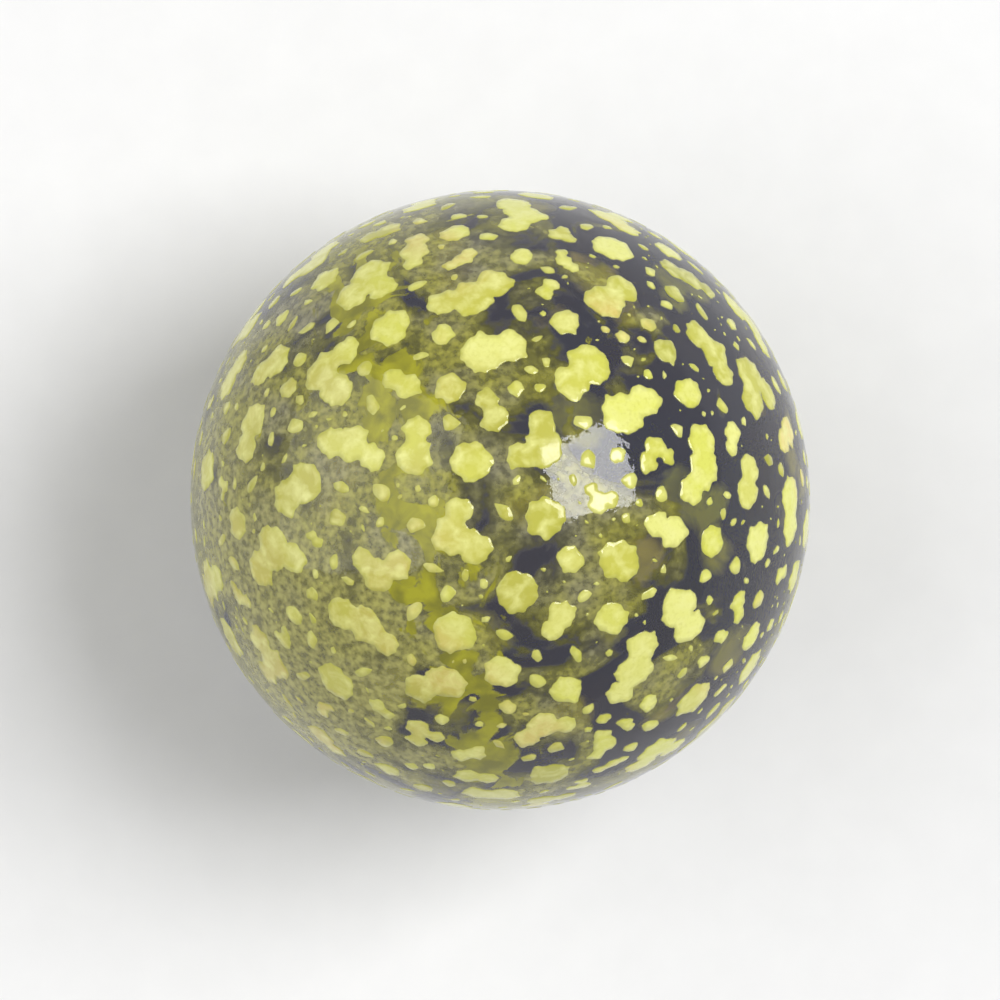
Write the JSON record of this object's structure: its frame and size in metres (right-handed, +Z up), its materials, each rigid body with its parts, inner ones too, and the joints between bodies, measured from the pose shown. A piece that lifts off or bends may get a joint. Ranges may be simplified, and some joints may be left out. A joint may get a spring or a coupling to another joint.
{
  "type": "glass marble",
  "caption": "Large round marble: a dark smoky glass ball with yellow glass flecks melted flush into its skin and more sunk below it, for play, display, or as a roller or weight.",
  "frame": {"origin": "centre of the ball", "axes": "+Z up, out of the side with the most flecks, towards the camera; +X to the right of the picture, +Y to its top; -Z is where the ball meets what it lies on"},
  "size_m": [0.035, 0.035, 0.035],
  "materials": {
    "dark_glass": "clear dark navy to violet glass, near black through its whole depth, polished",
    "yellow_glass": "opaque lemon yellow glass chips, polished flush with the ball where they reach its skin"
  },
  "bodies": {
    "root": {"glass_ball": "dark_glass", "yellow_flecks": "yellow_glass", "sunken_flecks": "yellow_glass"}
  },
  "joints": []
}
